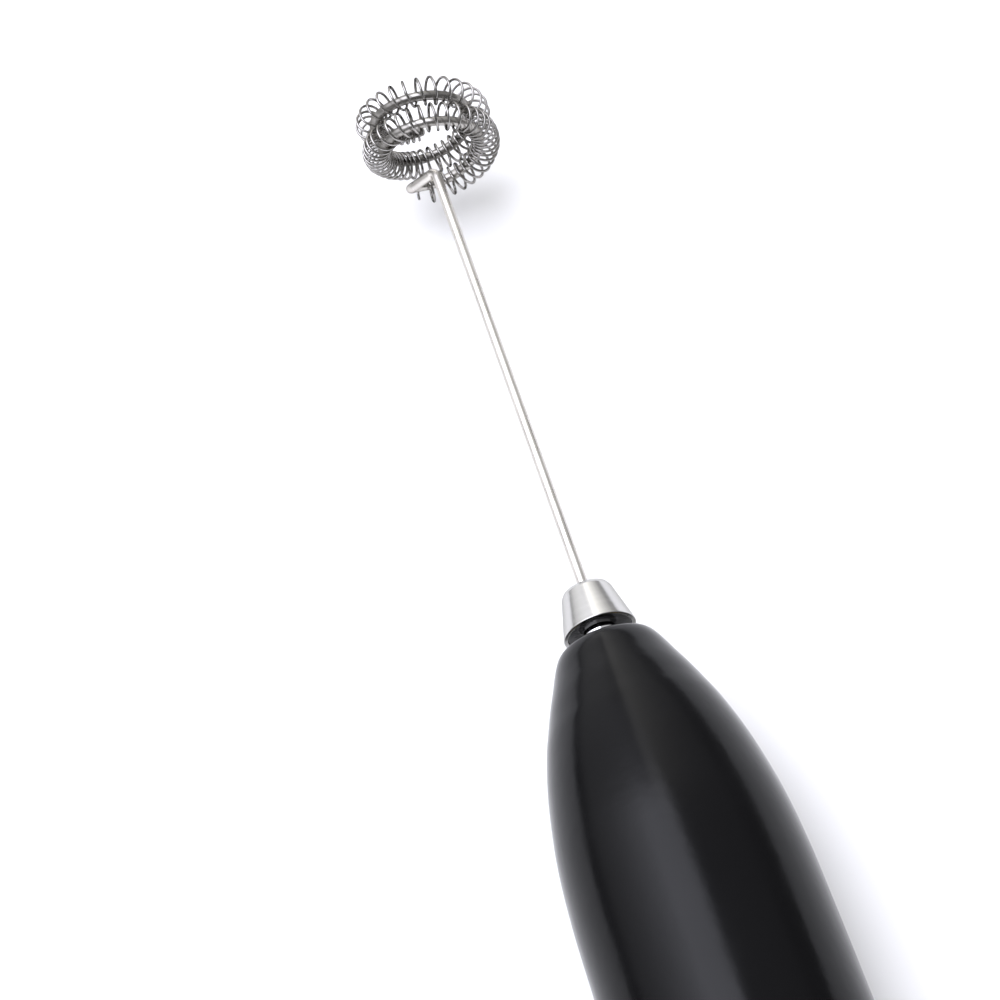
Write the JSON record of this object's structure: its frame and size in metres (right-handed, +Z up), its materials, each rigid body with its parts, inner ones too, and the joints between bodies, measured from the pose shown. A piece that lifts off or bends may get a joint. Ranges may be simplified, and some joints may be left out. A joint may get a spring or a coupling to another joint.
{
  "type": "milk frother",
  "caption": "Handheld electric milk frother lying on its side: tapered black battery handle, brushed cone hub and a wire shaft ending in a spring-wound whisk ring.",
  "frame": {"origin": "on the table directly under the middle of the frother's whole length, with the handle lying on its lower side", "axes": "+Y along the drive axis towards the whisk, +Z up, +X to the right when looking from the button towards the whisk"},
  "size_m": [0.039, 0.2362, 0.039],
  "materials": {
    "handle_gloss": "glossy moulded",
    "black_plastic": "moulded",
    "button_satin": "satin moulded",
    "brushed_hub": "brushed, clear",
    "spindle_chrome": "polished",
    "whisk_stainless": "satin",
    "coil_stainless": "bright drawn",
    "motor_steel": "plated",
    "nickel_steel": "nickel plated",
    "brass_parts": "satin",
    "copper_parts": "enamelled copper",
    "ferrite": "matte",
    "carbon_brush": "matte",
    "black_rubber": "matte",
    "natural_plastic": "satin",
    "cell_jacket": "printed sleeve, plain",
    "red_lead": "satin",
    "black_lead": "satin"
  },
  "bodies": {
    "whisk": {"whisk_wire": "whisk_stainless", "whisk_coil": "coil_stainless", "hub_cone": "brushed_hub", "hub_insert": "black_plastic"},
    "drive": {"drive_spindle": "spindle_chrome", "motor_shaft": "motor_steel", "rotor_core": "motor_steel", "rotor_winding_1": "copper_parts", "rotor_winding_2": "copper_parts", "rotor_winding_3": "copper_parts", "commutator": "copper_parts", "thrust_washer": "natural_plastic"},
    "handle": {"front_shell": "handle_gloss", "nose_bush": "brass_parts", "nose_seal": "black_rubber", "motor_can": "motor_steel", "motor_end_cap": "natural_plastic", "magnet_upper": "ferrite", "magnet_lower": "ferrite", "front_bearing": "brass_parts", "rear_bearing": "brass_parts", "brush_left": "carbon_brush", "brush_right": "carbon_brush", "motor_terminal_left": "brass_parts", "motor_terminal_right": "brass_parts", "motor_sleeve": "black_rubber", "chassis": "natural_plastic", "battery_left": "cell_jacket", "battery_right": "cell_jacket", "front_spring_contact": "nickel_steel", "front_plate_contact": "nickel_steel", "lead_red": "red_lead", "lead_black": "black_lead", "chassis_screw_1": "nickel_steel", "chassis_screw_2": "nickel_steel"},
    "tail_cap": {"tail_cap": "handle_gloss", "cap_insert": "black_plastic", "cap_o_ring": "black_rubber", "cap_spring_contact": "nickel_steel", "cap_plate_contact": "nickel_steel", "switch_post_left": "brass_parts", "switch_post_right": "brass_parts", "cap_screw_1": "nickel_steel", "cap_screw_2": "nickel_steel"},
    "button": {"button": "button_satin", "contact_disc": "brass_parts", "button_spring": "nickel_steel"}
  },
  "joints": [
    {"name": "spindle_spin", "type": "hinge", "parent": "handle", "child": "drive", "pos_m": [0, 0, 0.0195], "axis": [0, 1, 0], "continuous": true},
    {"name": "whisk_pull", "type": "slide", "parent": "drive", "child": "whisk", "axis": [0, 1, 0], "range_m": [0, 0.012]},
    {"name": "cap_pull", "type": "slide", "parent": "handle", "child": "tail_cap", "axis": [0, -1, 0], "range_m": [0, 0.03]},
    {"name": "button_press", "type": "slide", "parent": "tail_cap", "child": "button", "axis": [0, 1, 0], "range_m": [0, 0.002], "stiffness_N_per_m": 800, "deforming": ["button_spring"]}
  ]
}
